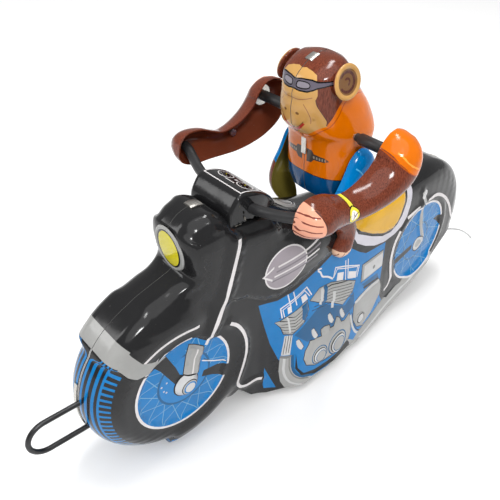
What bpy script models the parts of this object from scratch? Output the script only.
"""A wind-up tin motorcycle with a monkey rider, built piece by piece.

Frame: the bike points along -X, the rider's left is -Y, up is +Z, and the ground is z = 0.
Sizes are in millimetres: x is counted from the middle of the wheelbase, and at() turns a place
into metres and moves the origin to the middle of the whole toy.
"""

import math

import bmesh
import bpy
from mathutils import Matrix, Vector

MM = 0.001
X_SHIFT = -9.0

# Driving dimensions
WHEELBASE = 140.0
FRONT_X, REAR_X = -WHEELBASE / 2, WHEELBASE / 2
HUB_Z = 36.5
TYRE_R = 35.0
SEAM_R = 34.4
TIN = 0.6
SEAM_GAP = 0.15
CLEAR = 0.3

# Outer half width of the body at stations along the bike, at the lower edge and at the tank
STATION_X = (-106, -44, -34, -24, -17, 5, 25, 48, 75, 108)
LOW_HALF_WIDTH = (13.3, 13.3, 14.5, 18.6, 22.0, 21.8, 19.2, 15.0, 13.2, 9.8)
HIGH_HALF_WIDTH = (13.3, 13.3, 13.6, 14.2, 14.5, 14.6, 14.2, 13.6, 12.3, 9.6)
LOWER_EDGE_Z, TANK_Z = 3.5, 60.0
TANK_BULGE = (-17.0, 70.0, 20.0, 11.0, 1.7)
SPINE_FRONT, SPINE_REAR, SPINE_Z = -60.0, 72.0, 38.0
SPINE_STEP = 8.25
COWL_STEP = (-50.6, -49.2)  # where the cowl drops to the deck under the instrument box
RINGS = (0.0, 0.025, 0.07, 0.14, 0.24, 0.4, 0.65, 1.0)

# Motor: gear module and teeth, shaft places in side view, and the layers between the side plates
MODULE = 0.5
GREAT_TEETH, WHEEL_TEETH, PINION_TEETH = 60, 48, 10
MESH_ROOM = 0.12
DRIVE_AXLE = (52.0, 12.0)
DRIVE_WHEEL_R = 12.0
PLATE_Y = 5.6
PLATE_T = 0.8
PILLARS = ((8.0, 47.0), (35.0, 47.5), (7.5, 11.0), (32.0, 8.6))
SPRING_Y, GREAT_Y, RATCHET_Y, WHEEL_Y = -2.0, 1.6, 2.8, 4.0

# Rider: arms hang on one rod through the shoulders, and the fists close round the handlebar
SHOULDER = (5.2, 110.5)
ARM_RIM_Y = 29.8
LEG_RIM_Y = 15.7
BAR_R = 1.9

# Steering column: from the handlebar clamp down to the front yoke
COLUMN_TOP = (-38.0, 93.2)
COLUMN_FOOT = (-66.0, 14.6)
ROLLER = (-67.5, 6.0)
ROLLER_R = 6.0

# Bumper loop in front
LOOP_TOP_Z, LOOP_LOW_Z, LOOP_TIP_X, LOOP_Y, LOOP_R = 39.8, 26.6, -124.2, -0.8, 0.95


def at(x, y, z):
    return Vector(((x + X_SHIFT) * MM, y * MM, z * MM))


def clear_scene():
    for thing in list(bpy.data.objects):
        bpy.data.objects.remove(thing, do_unlink=True)


def collection(name):
    group = bpy.data.collections.new(name)
    bpy.context.scene.collection.children.link(group)
    return group


clear_scene()
PARTS = collection("wind_up_tin_motorcycle")
CUTTERS = collection("cutters")


def material(name, colour, roughness, metallic=0.0):
    made = bpy.data.materials.new(name)
    made.use_nodes = True
    shader = made.node_tree.nodes["Principled BSDF"]
    shader.inputs["Base Color"].default_value = (*colour, 1.0)
    shader.inputs["Roughness"].default_value = roughness
    shader.inputs["Metallic"].default_value = metallic
    return made


BLACK_TIN = material("black_litho_tin", (0.012, 0.012, 0.013), 0.18)
SHIRT_TIN = material("orange_litho_tin", (0.78, 0.22, 0.02), 0.2)
FUR_TIN = material("brown_litho_tin", (0.17, 0.045, 0.02), 0.2)
TAN_TIN = material("tan_litho_tin", (0.62, 0.40, 0.20), 0.25)
SHORTS_TIN = material("blue_litho_tin", (0.0, 0.22, 0.60), 0.2)
BARE_TIN = material("bare_tin", (0.62, 0.60, 0.56), 0.3, 1.0)
DARK_STEEL = material("dark_steel", (0.07, 0.07, 0.07), 0.35, 1.0)
BRIGHT_STEEL = material("bright_steel", (0.55, 0.55, 0.55), 0.3, 1.0)
BRASS = material("brass_gear", (0.65, 0.47, 0.18), 0.35, 1.0)
BLACK_SLEEVE = material("black_plastic_sleeve", (0.02, 0.02, 0.02), 0.45)
RUBBER = material("black_rubber", (0.02, 0.02, 0.02), 0.75)
WHITE_HUB = material("white_plastic_hub", (0.7, 0.7, 0.68), 0.4)


# ------------------------------------------------------------------ building helpers


def add_object(name, data, skin, origin=Vector((0, 0, 0)), group=None):
    thing = bpy.data.objects.new(name, data)
    thing.location = origin
    (group or PARTS).objects.link(thing)
    if skin:
        data.materials.append(skin)
    return thing


def smooth(thing, angle=35):
    thing.data.shade_smooth()
    thing.data.set_sharp_from_angle(angle=math.radians(angle))


def round_bar(name, start, end, radius, skin, sides=16, group=None):
    """A cylinder between two places, with its origin at its middle."""
    run = end - start
    bm = bmesh.new()
    bmesh.ops.create_cone(
        bm, cap_ends=True, segments=sides, radius1=radius * MM, radius2=radius * MM, depth=run.length
    )
    data = bpy.data.meshes.new(name)
    bm.to_mesh(data)
    bm.free()
    thing = add_object(name, data, skin, (start + end) / 2, group)
    thing.rotation_euler = run.to_track_quat("Z", "Y").to_euler()
    smooth(thing)
    return thing


def cross_bar(name, x, z, y0, y1, radius, skin, sides=16, group=None):
    return round_bar(name, at(x, y0, z), at(x, y1, z), radius, skin, sides, group)


def block(name, low, high, skin, group=None, bevel=0.0):
    """A box between two corners, in millimetres."""
    a, b = at(*low), at(*high)
    bm = bmesh.new()
    bmesh.ops.create_cube(bm, size=1.0, matrix=Matrix.Diagonal((*(b - a), 1.0)))
    data = bpy.data.meshes.new(name)
    bm.to_mesh(data)
    bm.free()
    thing = add_object(name, data, skin, (a + b) / 2, group)
    if bevel:
        edge = thing.modifiers.new("rounded", "BEVEL")
        edge.width = bevel * MM
        edge.segments = 2
    return thing


def cut(thing, cutter, operation="DIFFERENCE"):
    cutter.hide_render = True
    cutter.display_type = "WIRE"
    boolean = thing.modifiers.new(cutter.name, "BOOLEAN")
    boolean.operation = operation
    boolean.solver = "EXACT"
    boolean.object = cutter


def circle(radius, sides, phase=0.0):
    return [
        (radius * math.cos(phase + math.tau * i / sides), radius * math.sin(phase + math.tau * i / sides))
        for i in range(sides)
    ]


def flat_part(name, loops, centre, y, thickness, skin):
    """A flat piece cut from sheet: loops in side view round centre, the first one outside."""
    data = bpy.data.curves.new(name, "CURVE")
    data.dimensions = "2D"
    data.fill_mode = "BOTH"
    data.extrude = thickness / 2 * MM
    for loop in loops:
        spline = data.splines.new("POLY")
        spline.points.add(len(loop) - 1)
        for point, (x, z) in zip(spline.points, loop):
            point.co = (x * MM, z * MM, 0.0, 1.0)
        spline.use_cyclic_u = True
    thing = add_object(name, data, skin, at(centre[0], y, centre[1]))
    thing.rotation_euler = (math.pi / 2, 0.0, 0.0)
    return thing


def wire(name, places, radius, skin, sides=8, origin=None, closed=False):
    """A bent wire through places given in metres."""
    start = origin or Vector((0, 0, 0))
    data = bpy.data.curves.new(name, "CURVE")
    data.dimensions = "3D"
    data.bevel_depth = radius * MM
    data.bevel_resolution = sides // 2 - 2
    data.use_fill_caps = True
    spline = data.splines.new("POLY")
    spline.points.add(len(places) - 1)
    for point, place in zip(spline.points, places):
        point.co = (*(place - start), 1.0)
    spline.use_cyclic_u = closed
    return add_object(name, data, skin, start)


def bend(points, steps=5):
    """A smooth Catmull-Rom curve through a few places."""
    padded = [points[0] * 2 - points[1], *points, points[-1] * 2 - points[-2]]
    out = []
    for a, b, c, d in zip(padded, padded[1:], padded[2:], padded[3:]):
        for i in range(steps):
            t = i / steps
            out.append(
                0.5 * ((2 * b) + (c - a) * t + (2 * a - 5 * b + 4 * c - d) * t**2
                       + (3 * b - a - 3 * c + d) * t**3)
            )
    return out + [points[-1]]


def surface(name, places, faces, skin, origin, outward, thickness=TIN):
    """An open pressed surface, thickened inwards. outward is a direction its middle faces."""
    data = bpy.data.meshes.new(name)
    data.from_pydata([p - origin for p in places], [], faces)
    bm = bmesh.new()
    bm.from_mesh(data)
    bmesh.ops.remove_doubles(bm, verts=bm.verts, dist=1e-6)
    bmesh.ops.recalc_face_normals(bm, faces=bm.faces)
    total = sum((f.normal * f.calc_area() for f in bm.faces), Vector())
    if total.dot(outward) < 0:
        bmesh.ops.reverse_faces(bm, faces=bm.faces)
    bm.to_mesh(data)
    bm.free()
    thing = add_object(name, data, skin, origin)
    wall = thing.modifiers.new("tin", "SOLIDIFY")
    wall.thickness = thickness * MM
    wall.offset = -1.0
    wall.use_even_offset = False
    smooth(thing, 50)
    return thing


def between(value, xs, ys):
    """Linear interpolation, held flat past both ends."""
    if value <= xs[0]:
        return ys[0]
    for x0, x1, y0, y1 in zip(xs, xs[1:], ys, ys[1:]):
        if value <= x1:
            return y0 + (y1 - y0) * (value - x0) / (x1 - x0)
    return ys[-1]


# ------------------------------------------------------------------ the two body halves


def arc(centre_x, centre_z, r0, r1, a0, a1, steps):
    points = []
    for i in range(steps + 1):
        t = i / steps
        r, a = r0 + (r1 - r0) * t, math.radians(a0 + (a1 - a0) * t)
        points.append((centre_x + r * math.cos(a), centre_z + r * math.sin(a)))
    return points


# The seam line where the halves meet, from under the front tyre over the top to the tail.
# Each stretch: its points, the half width of its flat edge band, and the radius of its shoulder.
SEAM = (
    (arc(FRONT_X, HUB_Z, SEAM_R, SEAM_R, 258, 144, 11), 1.0, 13.5),
    (arc(FRONT_X, HUB_Z, 37.2, 36.0, 142, 110, 4), 3.6, 9.6),
    ([(-78.9, 71.8), (-73.0, 73.8), (-68.6, 75.2)], 3.6, 9.0),
    ([(-64.8, 78.4)], 5.4, 5.0),
    ([(-65.6, 82.4), (-65.6, 87.2)], 6.0, 5.0),
    ([(-65.0, 92.2)], 4.4, 5.0),
    ([(-63.4, 94.6), (-61.0, 96.8)], 2.4, 9.0),
    ([(-57.8, 98.0)], 2.8, 9.0),
    ([(-54.5, 98.2), (-50.6, 97.4)], 7.4, 5.0),
    ([(-49.2, 91.2), (-40.0, 90.4), (-30.0, 89.6)], 7.0, 5.6),
    ([(-24.0, 88.0), (-12.0, 82.2), (0.0, 78.2)], 3.5, 11.0),
    ([(10.0, 75.8), (24.0, 74.2), (38.0, 74.6), (52.0, 75.6)], 5.0, 9.0),
    (arc(REAR_X, HUB_Z, 39.3, 39.3, 92, -10, 11), 4.6, 7.2),
)
# The open lower edge, from the tail forward to the front tyre, whose rim is turned in under the tyre
LOWER_EDGE = (
    [(104.0, 27.5), (88.0, 17.5), (70.0, 9.5), (48.0, 3.5), (5.0, 3.5), (-31.0, 3.5), (-38.0, 6.0)]
    + arc(FRONT_X, HUB_Z, SEAM_R, SEAM_R, -42, -97, 6)
)
TURNED_RIM = [(x, z, 8.0, 8.0) for x, z in arc(FRONT_X, HUB_Z, SEAM_R, SEAM_R, 306, 259, 7)]
SEAM_LINE = [(x, z, band, shoulder) for points, band, shoulder in SEAM for x, z in points]


def edge_depth(x, z):
    """Distance to the seam line, and the band and shoulder at its nearest point."""
    best = (1e9, 0.0, 1.0)
    turned = TURNED_RIM + SEAM_LINE
    for (x0, z0, b0, s0), (x1, z1, b1, s1) in zip(turned, turned[1:]):
        dx, dz = x1 - x0, z1 - z0
        t = max(0.0, min(1.0, ((x - x0) * dx + (z - z0) * dz) / (dx * dx + dz * dz)))
        gap = math.hypot(x - x0 - dx * t, z - z0 - dz * t)
        if gap < best[0]:
            best = (gap, b0 + (b1 - b0) * t, s0 + (s1 - s0) * t)
    return best


def half_width(x, z):
    """Half width of the body at a place in side view."""
    rise = max(0.0, min(1.0, (z - LOWER_EDGE_Z) / (TANK_Z - LOWER_EDGE_Z)))
    low = between(x, STATION_X, LOW_HALF_WIDTH)
    full = low + (between(x, STATION_X, HIGH_HALF_WIDTH) - low) * rise
    bx, bz, rx, rz, height = TANK_BULGE
    full += height * max(0.0, 1.0 - ((x - bx) / rx) ** 2 - ((z - bz) / rz) ** 2)
    gap, band, shoulder = edge_depth(x, z)
    turn = 1.0 - min(gap / shoulder, 1.0)
    return band + (full - band) * math.sqrt(1.0 - turn * turn)


def crossing(line, x, pick):
    heights = [
        z0 + (z1 - z0) * (x - x0) / (x1 - x0)
        for (x0, z0, *_), (x1, z1, *_) in zip(line, line[1:])
        if min(x0, x1) <= x <= max(x0, x1) and x0 != x1
    ]
    return pick(heights)


def body_rays():
    """Pairs of an edge point and a spine point, once round the side view, and which are on the seam."""
    rays = []
    top_front = crossing(SEAM_LINE, SPINE_FRONT, max)
    for x, z, band, _ in SEAM_LINE:
        if x < SPINE_FRONT:
            rays.append(((x, z), (SPINE_FRONT, SPINE_Z), band))
    columns = round((SPINE_REAR - SPINE_FRONT) / SPINE_STEP)
    xs = [SPINE_FRONT + (SPINE_REAR - SPINE_FRONT) * i / columns for i in range(columns + 1)]
    xs = sorted(xs + [COWL_STEP[0], COWL_STEP[1]])
    for x in xs:
        z = top_front if x == SPINE_FRONT else crossing(SEAM_LINE, x, max)
        rays.append(((x, z), (x, SPINE_Z), edge_depth(x, z)[1]))
    for x, z, band, _ in SEAM_LINE:
        if x > SPINE_REAR and z < HUB_Z + 38.0:
            rays.append(((x, z), (SPINE_REAR, SPINE_Z), band))
    for x, z in LOWER_EDGE:
        if x > SPINE_REAR:
            rays.append(((x, z), (SPINE_REAR, SPINE_Z), None))
    for x in reversed(xs):
        rays.append(((x, crossing(LOWER_EDGE, x, min)), (x, SPINE_Z), None))
    for x, z in LOWER_EDGE:
        if x < SPINE_FRONT:
            rays.append(((x, z), (SPINE_FRONT, SPINE_Z), None))
    return rays


def body_half(name, side):
    """One pressed half: a grid from the seam and the lower edge in to the spine, then thickened."""
    places, faces = [], []
    rays = body_rays()
    row = len(RINGS) + 1
    for (x, z), (cx, cz), band in rays:
        rim = SEAM_GAP if band is not None else half_width(x, z)
        places.append(at(x, side * rim, z))
        for t in RINGS:
            px, pz = x + (cx - x) * t, z + (cz - z) * t
            depth = band if band is not None and t == 0.0 else half_width(px, pz)
            places.append(at(px, side * depth, pz))
    count = len(rays)
    for i in range(count):
        j = (i + 1) % count
        for k in range(row - 1):
            faces.append((i * row + k, j * row + k, j * row + k + 1, i * row + k + 1))
    return surface(name, places, faces, BLACK_TIN, at(0, 0, HUB_Z), Vector((0, side, 0)))


def column_at(z):
    """Side-view place on the steering axis at a height."""
    t = (COLUMN_TOP[1] - z) / (COLUMN_TOP[1] - COLUMN_FOOT[1])
    return COLUMN_TOP[0] + (COLUMN_FOOT[0] - COLUMN_TOP[0]) * t, z


def make_body():
    left = body_half("body_shell_left", -1)
    right = body_half("body_shell_right", 1)
    low_x, low_z = column_at(80.0)
    high_x, high_z = column_at(97.0)
    column_hole = round_bar(
        "cut_column", at(low_x, 0, low_z), at(high_x, 0, high_z), 2.6, None, 12, CUTTERS
    )
    loop_slot = block("cut_loop_slot", (-112, -2.1, 22.5), (-96, 2.7, 47.5), None, CUTTERS)
    for half in (left, right):
        cut(half, column_hole)
        cut(half, loop_slot)
    key_hole = cross_bar("cut_key_hole", GREAT_ARBOR[0], GREAT_ARBOR[1], 8, 30, 3.2, None, 16, CUTTERS)
    cut(right, key_hole)


def make_nacelle():
    """The instrument box: a pressed cap over the middle of the handlebar."""
    floor_z = 91.6
    outline = (
        (-47.6, 97.2, 10.6),
        (-44.6, 101.6, 10.8),
        (-42.4, 102.4, 10.8),
        (-37.2, 101.4, 10.8),
        (-32.0, 98.8, 10.2),
        (-27.0, 94.4, 8.8),
    )
    places, faces = [], []
    ring = []
    for x, z, half in outline:
        ring.append([(x, -half - 0.9, floor_z), (x, -half - 0.5, z - 1.0), (x, -half + 1.0, z),
                     (x, half - 1.0, z), (x, half + 0.5, z - 1.0), (x, half + 0.9, floor_z)])
    front = [(-48.2, y, floor_z) for y in (-10.6, -10.6, -9.2, 9.2, 10.6, 10.6)]
    rear = [(-24.8, y, floor_z) for y in (-8.2, -8.2, -6.5, 6.5, 8.2, 8.2)]
    rows = [front, *ring, rear]
    for row in rows:
        places += [at(*p) for p in row]
    for i in range(len(rows) - 1):
        for k in range(5):
            a = i * 6 + k
            faces.append((a, a + 1, a + 7, a + 6))
    cap = surface("instrument_nacelle", places, faces, BLACK_TIN, at(-38, 0, 97), Vector((0, 0, 1)))
    bar_slot = block("cut_bar_slot", (-42.6, -16, 86), (-35.4, 16, 98.4), None, CUTTERS)
    cut(cap, bar_slot)


def make_front_bracket():
    """The bare strip that stands in the slot of the front tyre beside the loop."""
    outer = arc(FRONT_X, HUB_Z, SEAM_R + 0.4, SEAM_R + 0.4, 163, 200, 8)
    inner = arc(FRONT_X, HUB_Z, SEAM_R - 2.6, SEAM_R - 2.6, 200, 163, 8)
    loop = [(x - FRONT_X, z - HUB_Z) for x, z in outer + inner]
    flat_part("front_bracket", [loop], (FRONT_X, HUB_Z), 1.4, 1.8, BARE_TIN)


def make_bumper_loop():
    radius = (LOOP_TOP_Z - LOOP_LOW_Z) / 2
    middle_z = (LOOP_TOP_Z + LOOP_LOW_Z) / 2
    bend_x = LOOP_TIP_X + LOOP_R + radius
    inner_x = -86.0
    places = [at(inner_x, LOOP_Y, LOOP_TOP_Z)]
    for i in range(13):
        a = math.radians(90 + 15 * i)
        places.append(at(bend_x + radius * math.cos(a), LOOP_Y, middle_z + radius * math.sin(a)))
    places.append(at(inner_x, LOOP_Y, LOOP_LOW_Z))
    wire("bumper_loop", places, LOOP_R, DARK_STEEL, 8, at(inner_x, LOOP_Y, middle_z))


# ------------------------------------------------------------------ steering


def make_steering():
    axis_origin = at(COLUMN_TOP[0], 0, COLUMN_TOP[1])
    route = [(-33.2, 34.0, 99.8), (-33.8, 30.5, 99.4), (-35.0, 26.5, 98.4), (-37.4, 19.0, 97.0),
             (-38.8, 10.0, 95.8), (-39.0, 4.5, 95.6)]
    half = [at(*p) for p in route]
    other = [at(x, -y, z) for x, y, z in reversed(route)]
    wire("handlebar", bend(half + other, 2), BAR_R, BLACK_SLEEVE, 8, axis_origin)
    top_x, top_z = column_at(92.8)
    round_bar(
        "steering_column", at(COLUMN_FOOT[0], 0, COLUMN_FOOT[1]), at(top_x, 0, top_z), 1.1, BRIGHT_STEEL, 12
    )
    crown_z, leg_y, leg_t = 13.4, 4.9, 0.6
    yoke = block(
        "front_yoke", (-69.3, -leg_y - leg_t, crown_z), (-64.2, leg_y + leg_t, crown_z + 0.8), BRIGHT_STEEL
    )
    for side in (-1, 1):
        a, b = sorted((side * leg_y, side * (leg_y + leg_t)))
        leg = block(f"yoke_leg_{side}", (-69.3, a, 3.6), (-64.2, b, crown_z + 0.4), None, CUTTERS)
        cut(yoke, leg, "UNION")
    hole = cross_bar("cut_yoke_axle", *ROLLER, -8, 8, 1.2, None, 12, CUTTERS)
    cut(yoke, hole)
    cross_bar("front_axle", *ROLLER, -6.4, 6.4, 0.9, BRIGHT_STEEL, 12)
    roller = cross_bar("front_roller", *ROLLER, -4.0, 4.0, ROLLER_R, RUBBER, 24)
    bore = cross_bar("cut_roller_bore", *ROLLER, -8, 8, 1.2, None, 12, CUTTERS)
    cut(roller, bore)
    bridge_x, bridge_z = column_at(22.0)
    bridge = block(
        "steering_bridge", (bridge_x - 5, -11.8, bridge_z), (bridge_x + 5, 11.8, bridge_z + 0.8), BARE_TIN
    )
    low, high = column_at(16.0), column_at(30.0)
    eye = round_bar("cut_bridge_eye", at(low[0], 0, low[1]), at(high[0], 0, high[1]), 1.5, None, 12, CUTTERS)
    cut(bridge, eye)


# ------------------------------------------------------------------ clockwork motor


def polar(centre, radius, degrees):
    a = math.radians(degrees)
    return centre[0] + radius * math.cos(a), centre[1] + radius * math.sin(a)


MESH_SMALL = MODULE * (WHEEL_TEETH + PINION_TEETH) / 2 + MESH_ROOM
MESH_LARGE = MODULE * (GREAT_TEETH + PINION_TEETH) / 2 + MESH_ROOM
SECOND_ARBOR = polar(DRIVE_AXLE, MESH_SMALL, 142)
GREAT_ARBOR = polar(SECOND_ARBOR, MESH_LARGE, 157)
GOVERNOR_ARBOR = polar(SECOND_ARBOR, MESH_SMALL, 62)


def heading(start, end):
    return math.atan2(end[1] - start[1], end[0] - start[0])


def gear_outline(teeth, phase):
    """Short, slim teeth: four points a tooth, with the first tooth centred on phase."""
    pitch_r = MODULE * teeth / 2
    tip, root = pitch_r + 0.7 * MODULE, pitch_r - 1.0 * MODULE
    step = math.tau / teeth
    points = []
    for i in range(teeth):
        middle = phase + i * step
        for r, share in ((root, -0.27), (tip, -0.13), (tip, 0.13), (root, 0.27)):
            a = middle + share * step
            points.append((r * math.cos(a), r * math.sin(a)))
    return points


def meshed_phase(driver, driver_teeth, driver_phase, follower, follower_teeth):
    """The follower's phase that puts a gap of it round the driver's tooth nearest the line of centres."""
    line = heading(driver, follower)
    step = math.tau / driver_teeth
    lead = (driver_phase - line + step / 2) % step - step / 2
    return line + math.pi - lead * driver_teeth / follower_teeth - math.pi / follower_teeth


def gear(name, teeth, centre, y, thickness, bore, phase, skin):
    return flat_part(name, [gear_outline(teeth, phase), circle(bore, 16)], centre, y, thickness, skin)


def make_motor_frame():
    plate = [(2, 6.5), (13, 5.2), (44, 5.2), (58, 5.2), (58, 22), (54, 42), (42, 52), (2, 52)]
    holes = [(GREAT_ARBOR, 1.6), (SECOND_ARBOR, 1.25), (DRIVE_AXLE, 1.45), (GOVERNOR_ARBOR, 1.25)]
    holes += [(place, 0.9) for place in PILLARS]
    for side, name in ((-1, "motor_plate_left"), (1, "motor_plate_right")):
        loops = [plate] + [
            [(cx + x, cz + z) for x, z in circle(r, 12)] for (cx, cz), r in holes
        ]
        flat_part(name, loops, (0, 0), side * PLATE_Y, PLATE_T, BRIGHT_STEEL)
    inner = PLATE_Y - PLATE_T / 2 - 0.3
    for i, (x, z) in enumerate(PILLARS, 1):
        cross_bar(f"motor_pillar_{i}", x, z, -inner, inner, 1.5, BRIGHT_STEEL, 12)


def make_winding():
    x, z = GREAT_ARBOR
    cross_bar("winding_arbor", x, z, -7.0, 27.4, 1.2, BRIGHT_STEEL, 12)
    teeth, tip, root = 14, 4.8, 3.9
    saw = []
    for i in range(teeth):
        a = math.tau * i / teeth
        saw += [(tip * math.cos(a), tip * math.sin(a)),
                (root * math.cos(a + 0.04), root * math.sin(a + 0.04))]
    flat_part("ratchet_wheel", [saw, circle(1.5, 16)], GREAT_ARBOR, RATCHET_Y, 0.8, BRASS)
    stem = cross_bar("key_stem", x, z, 19.4, 30.6, 2.6, BRIGHT_STEEL, 16)
    socket = cross_bar("cut_stem_bore", x, z, 15, 27.8, 1.5, None, 12, CUTTERS)
    cut(stem, socket)
    slot = block("cut_stem_slot", (x - 5, 28.3, z - 0.85), (x + 5, 36, z + 0.85), None, CUTTERS)
    cut(stem, slot)
    lobe, reach = 5.6, 8.2
    outline = []
    for side in (1, -1):
        for i in range(15):
            a = math.radians(-130 + 260 * i / 14)
            outline.append((side * (reach + lobe * math.cos(a)), side * lobe * math.sin(a)))
    data = bpy.data.curves.new("key_bow", "CURVE")
    data.dimensions = "2D"
    data.fill_mode = "BOTH"
    data.extrude = 0.55 * MM
    holes = [[(side * reach + hx, hz) for hx, hz in circle(2.4, 12)] for side in (1, -1)]
    for loop in [outline, *holes]:
        spline = data.splines.new("POLY")
        spline.points.add(len(loop) - 1)
        for point, (px, py) in zip(spline.points, loop):
            point.co = (px * MM, py * MM, 0.0, 1.0)
        spline.use_cyclic_u = True
    add_object("key_bow", data, BRIGHT_STEEL, at(x, 32.9, z))


def make_mainspring():
    """A flat spring coiled round the arbor; its outer end stops beside a pillar."""
    turns, inner_r, outer_r, strip, width = 5, 2.3, 12.0, 0.45, 5.0
    steps = turns * 20
    inside, outside = [], []
    for i in range(steps + 1):
        a = math.tau * turns * i / steps
        r = inner_r + (outer_r - inner_r) * i / steps
        inside.append((r * math.cos(a), r * math.sin(a)))
        outside.append(((r + strip) * math.cos(a), (r + strip) * math.sin(a)))
    flat_part("mainspring", [outside + inside[::-1]], GREAT_ARBOR, SPRING_Y, width, DARK_STEEL)


def make_train():
    great_phase = heading(GREAT_ARBOR, SECOND_ARBOR)
    gear("great_wheel", GREAT_TEETH, GREAT_ARBOR, GREAT_Y, 0.8, 1.5, great_phase, BRASS)
    click_pivot = polar(GREAT_ARBOR, 9.5, 115)
    blade = [(-1.3, -1.1), (-0.4, -1.4), (5.6, -1.9), (6.1, -1.2), (1.0, 1.3), (-1.0, 1.2)]
    lean = math.radians(-16)
    blade = [
        (x * math.cos(lean) - z * math.sin(lean), x * math.sin(lean) + z * math.cos(lean)) for x, z in blade
    ]
    flat_part("click", [blade], click_pivot, RATCHET_Y, 0.8, BRIGHT_STEEL)

    second_phase = meshed_phase(GREAT_ARBOR, GREAT_TEETH, great_phase, SECOND_ARBOR, PINION_TEETH)
    gear("second_pinion", PINION_TEETH, SECOND_ARBOR, GREAT_Y, 2.0, 1.2, second_phase, BRASS)
    wheel_phase = heading(SECOND_ARBOR, DRIVE_AXLE)
    gear("second_wheel", WHEEL_TEETH, SECOND_ARBOR, WHEEL_Y, 0.8, 1.2, wheel_phase, BRASS)
    cross_bar("second_arbor", *SECOND_ARBOR, -6.6, 6.6, 0.9, BRIGHT_STEEL, 12)

    axle_phase = meshed_phase(SECOND_ARBOR, WHEEL_TEETH, wheel_phase, DRIVE_AXLE, PINION_TEETH)
    gear("axle_pinion", PINION_TEETH, DRIVE_AXLE, WHEEL_Y, 1.6, 1.35, axle_phase, BRASS)
    governor_phase = meshed_phase(SECOND_ARBOR, WHEEL_TEETH, wheel_phase, GOVERNOR_ARBOR, PINION_TEETH)
    gear("governor_pinion", PINION_TEETH, GOVERNOR_ARBOR, WHEEL_Y, 1.6, 1.2, governor_phase, BRASS)
    cross_bar("governor_arbor", *GOVERNOR_ARBOR, -6.6, 6.6, 0.9, BRIGHT_STEEL, 12)
    fly = [(-6.0, -1.6), (-2.2, -1.6), (0.0, -2.4), (2.2, -1.6), (6.0, -1.6),
           (6.0, 1.6), (2.2, 1.6), (0.0, 2.4), (-2.2, 1.6), (-6.0, 1.6)]
    flat_part("governor_fly", [fly, circle(1.2, 12)], GOVERNOR_ARBOR, -2.6, 3.0, DARK_STEEL)


def make_drive_wheels():
    x, z = DRIVE_AXLE
    cross_bar("drive_axle", x, z, -11.0, 11.0, 1.05, BRIGHT_STEEL, 12)
    for side, word in ((-1, "left"), (1, "right")):
        y = side * 8.6
        flat_part(f"drive_hub_{word}", [circle(9.0, 28), circle(1.35, 12)], DRIVE_AXLE, y, 3.2, WHITE_HUB)
        flat_part(
            f"drive_tyre_{word}", [circle(DRIVE_WHEEL_R, 32), circle(9.4, 28)], DRIVE_AXLE, y, 3.6, RUBBER
        )


def make_stop_lever():
    route = [at(*p) for p in ((47.0, -7.9, 45.2), (52.0, -7.9, 42.4), (66.0, -7.9, 35.0), (84.0, -7.9, 29.4),
                              (104.0, -7.7, 25.4), (122.0, -7.3, 17.6), (134.4, -7.0, 9.4), (141.9, -7.0, 3.0))]
    wire("stop_lever", bend(route, 2), 0.45, BRIGHT_STEEL, 8, route[0])


# ------------------------------------------------------------------ the rider


def half_tube(name, stations, rim_y, side, skin, origin, arch=10, power=1.0):
    """A limb pressed from one sheet: an arch over each station (x, z, half width, depth)."""
    places, faces = [], []
    count = len(stations)
    for i, (x, z, half, depth) in enumerate(stations):
        (x0, z0, *_), (x1, z1, *_) = stations[max(i - 1, 0)], stations[min(i + 1, count - 1)]
        run = math.hypot(x1 - x0, z1 - z0)
        nx, nz = -(z1 - z0) / run, (x1 - x0) / run
        for k in range(arch + 1):
            a = math.pi * k / arch
            across = half * math.cos(a)
            out = rim_y + depth * math.sin(a) ** power
            places.append(at(x + nx * across, side * out, z + nz * across))
    row = arch + 1
    for i in range(count - 1):
        for k in range(arch):
            a = i * row + k
            faces.append((a, a + 1, a + row + 1, a + row))
    for i in (0, count - 1):
        faces.append(tuple(range(i * row, i * row + row)))
    return surface(name, places, faces, skin, origin, Vector((0, side, 0)))


ARM_STATIONS = (
    (9.4, 117.4, 2.4, 3.0),
    (9.1, 116.4, 4.8, 6.2),
    (8.5, 114.0, 7.0, 9.0),
    (7.7, 110.8, 8.4, 10.8),
    (5.8, 106.2, 8.8, 11.4),
    (1.2, 102.2, 7.8, 11.0),
    (-5.2, 99.3, 6.5, 10.0),
    (-12.0, 97.7, 5.5, 8.8),
    (-18.2, 97.5, 5.0, 8.0),
    (-23.6, 98.4, 5.7, 8.4),
    (-28.8, 99.4, 6.7, 9.2),
    (-33.6, 99.9, 6.5, 9.2),
    (-36.8, 100.2, 5.1, 7.6),
    (-38.2, 100.4, 3.0, 4.4),
)

LEG_STATIONS = (
    (10.6, 104.4, 2.0, 1.4),
    (10.2, 103.0, 4.6, 3.0),
    (9.6, 99.8, 6.6, 4.4),
    (8.4, 95.2, 7.2, 4.9),
    (5.8, 90.4, 7.0, 4.9),
    (3.0, 86.4, 6.6, 4.9),
    (1.6, 82.4, 6.0, 4.7),
    (3.0, 78.2, 5.4, 4.5),
    (5.8, 73.6, 4.7, 4.2),
    (7.0, 69.0, 4.4, 4.0),
    (5.8, 65.0, 4.8, 4.4),
    (4.6, 62.2, 4.6, 4.2),
    (4.0, 60.0, 2.6, 2.6),
)

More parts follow.
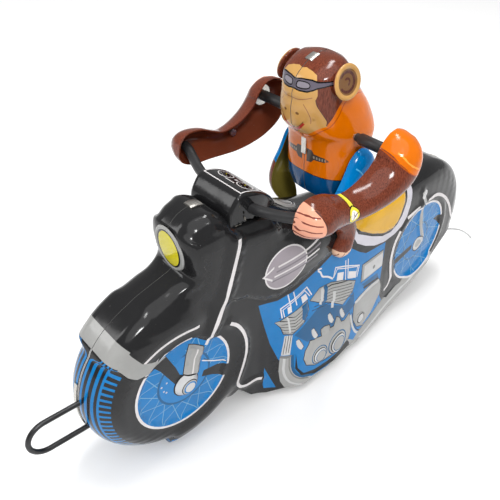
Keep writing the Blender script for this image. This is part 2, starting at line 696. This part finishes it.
# Head and torso in level slices: height, front, rear, half width and how square the slice is
TORSO_SLICES = (
    (84.2, -0.8, 18.5, 13.0, 2.6),
    (89.0, -2.4, 20.4, 14.4, 2.6),
    (95.0, -3.1, 21.6, 15.0, 2.6),
    (101.0, -3.6, 22.4, 15.1, 2.6),
    (105.5, -4.2, 23.2, 15.1, 2.6),
    (108.6, -5.4, 24.0, 15.3, 2.5),
    (111.0, -8.6, 24.6, 15.2, 2.3),
    (114.0, -11.3, 24.4, 14.6, 2.1),
    (118.0, -12.3, 22.0, 13.7, 2.1),
    (122.0, -12.6, 18.4, 12.7, 2.2),
    (126.5, -12.2, 14.2, 12.2, 2.2),
    (131.0, -11.1, 10.6, 12.0, 2.2),
    (133.8, -8.3, 8.4, 11.1, 2.1),
    (135.7, -5.6, 6.8, 9.4, 2.0),
    (136.9, -2.6, 5.2, 6.8, 2.0),
    (137.4, 0.0, 3.6, 3.4, 2.0),
)


def torso_half(name, side):
    columns = 14
    places, faces = [], []
    for z, front, rear, half, square in TORSO_SLICES:
        middle, reach = (front + rear) / 2, (rear - front) / 2
        for k in range(columns + 1):
            a = math.pi * k / columns
            c, s = math.cos(a), math.sin(a)
            x = middle - reach * math.copysign(abs(c) ** (2 / square), c)
            y = max(half * abs(s) ** (2 / square), SEAM_GAP)
            places.append(at(x, side * y, z))
    row = columns + 1
    for i in range(len(TORSO_SLICES) - 1):
        for k in range(columns):
            a = i * row + k
            faces.append((a, a + 1, a + row + 1, a + row))
    top = (len(TORSO_SLICES) - 1) * row
    faces.append(tuple(range(top, top + row)))
    return surface(name, places, faces, SHIRT_TIN, at(5, 0, 84), Vector((0, side, 0)))


def make_rider():
    x, z = SHOULDER
    rod_hole = cross_bar("cut_rod_hole", x, z, -20, 20, 1.4, None, 12, CUTTERS)
    for side, word in ((-1, "left"), (1, "right")):
        cut(torso_half(f"torso_half_{word}", side), rod_hole)
        arm = half_tube(f"arm_{word}", ARM_STATIONS, ARM_RIM_Y, side, FUR_TIN, at(x, side * ARM_RIM_Y, z))
        clip_y = side * (ARM_RIM_Y + 4.2)
        clip = [circle(4.2, 20), circle(1.3, 12)]
        flat_part(f"arm_clip_{word}", clip, SHOULDER, clip_y, 0.7, BARE_TIN)
        tube_ends = sorted((side * 15.9, side * (ARM_RIM_Y + 3.4)))
        tube = cross_bar(f"shoulder_spacer_{word}", x, z, *tube_ends, 2.1, BLACK_SLEEVE, 14)
        bore = cross_bar(f"cut_spacer_bore_{word}", x, z, side * 14, side * 38, 1.35, None, 12, CUTTERS)
        cut(tube, bore)
        half_tube(f"leg_{word}", LEG_STATIONS, LEG_RIM_Y, side, SHORTS_TIN, at(6, side * LEG_RIM_Y, 90))
        make_ear(word, side)
    cross_bar("shoulder_rod", x, z, -36.2, 36.2, 1.0, BRIGHT_STEEL, 12)
    cross_bar("elbow_rivet", -7.8, 97.0, ARM_RIM_Y + 5.7, ARM_RIM_Y + 6.7, 1.5, BARE_TIN, 12)


def make_ear(word, side):
    """A round pressed cup beside the head. The right one is bent in closer to it."""
    profile = [(0.0, -0.9), (4.2, -0.9), (5.8, -0.5), (6.1, 0.2), (5.5, 0.9), (4.3, 0.5), (0.0, 0.1)]
    bm = bmesh.new()
    verts = [bm.verts.new((r * MM, 0.0, h * MM)) for r, h in profile[::-1]]
    for a, b in zip(verts, verts[1:]):
        bm.edges.new((a, b))
    data = bpy.data.meshes.new(f"ear_{word}")
    bm.to_mesh(data)
    bm.free()
    centre, lean = ((-0.9, -13.4, 130.8), 0.2) if side < 0 else ((-0.2, 13.9, 129.4), 0.3)
    ear = add_object(f"ear_{word}", data, TAN_TIN, at(*centre))
    turn = ear.modifiers.new("turned", "SCREW")
    turn.steps = turn.render_steps = 24
    turn.use_merge_vertices = True
    turn.merge_threshold = 1e-5
    outward = Vector((-0.05, side, lean))
    ear.rotation_euler = outward.to_track_quat("Z", "Y").to_euler()


make_body()
make_nacelle()
make_front_bracket()
make_bumper_loop()
make_steering()
make_motor_frame()
make_winding()
make_mainspring()
make_train()
make_drive_wheels()
make_stop_lever()
make_rider()
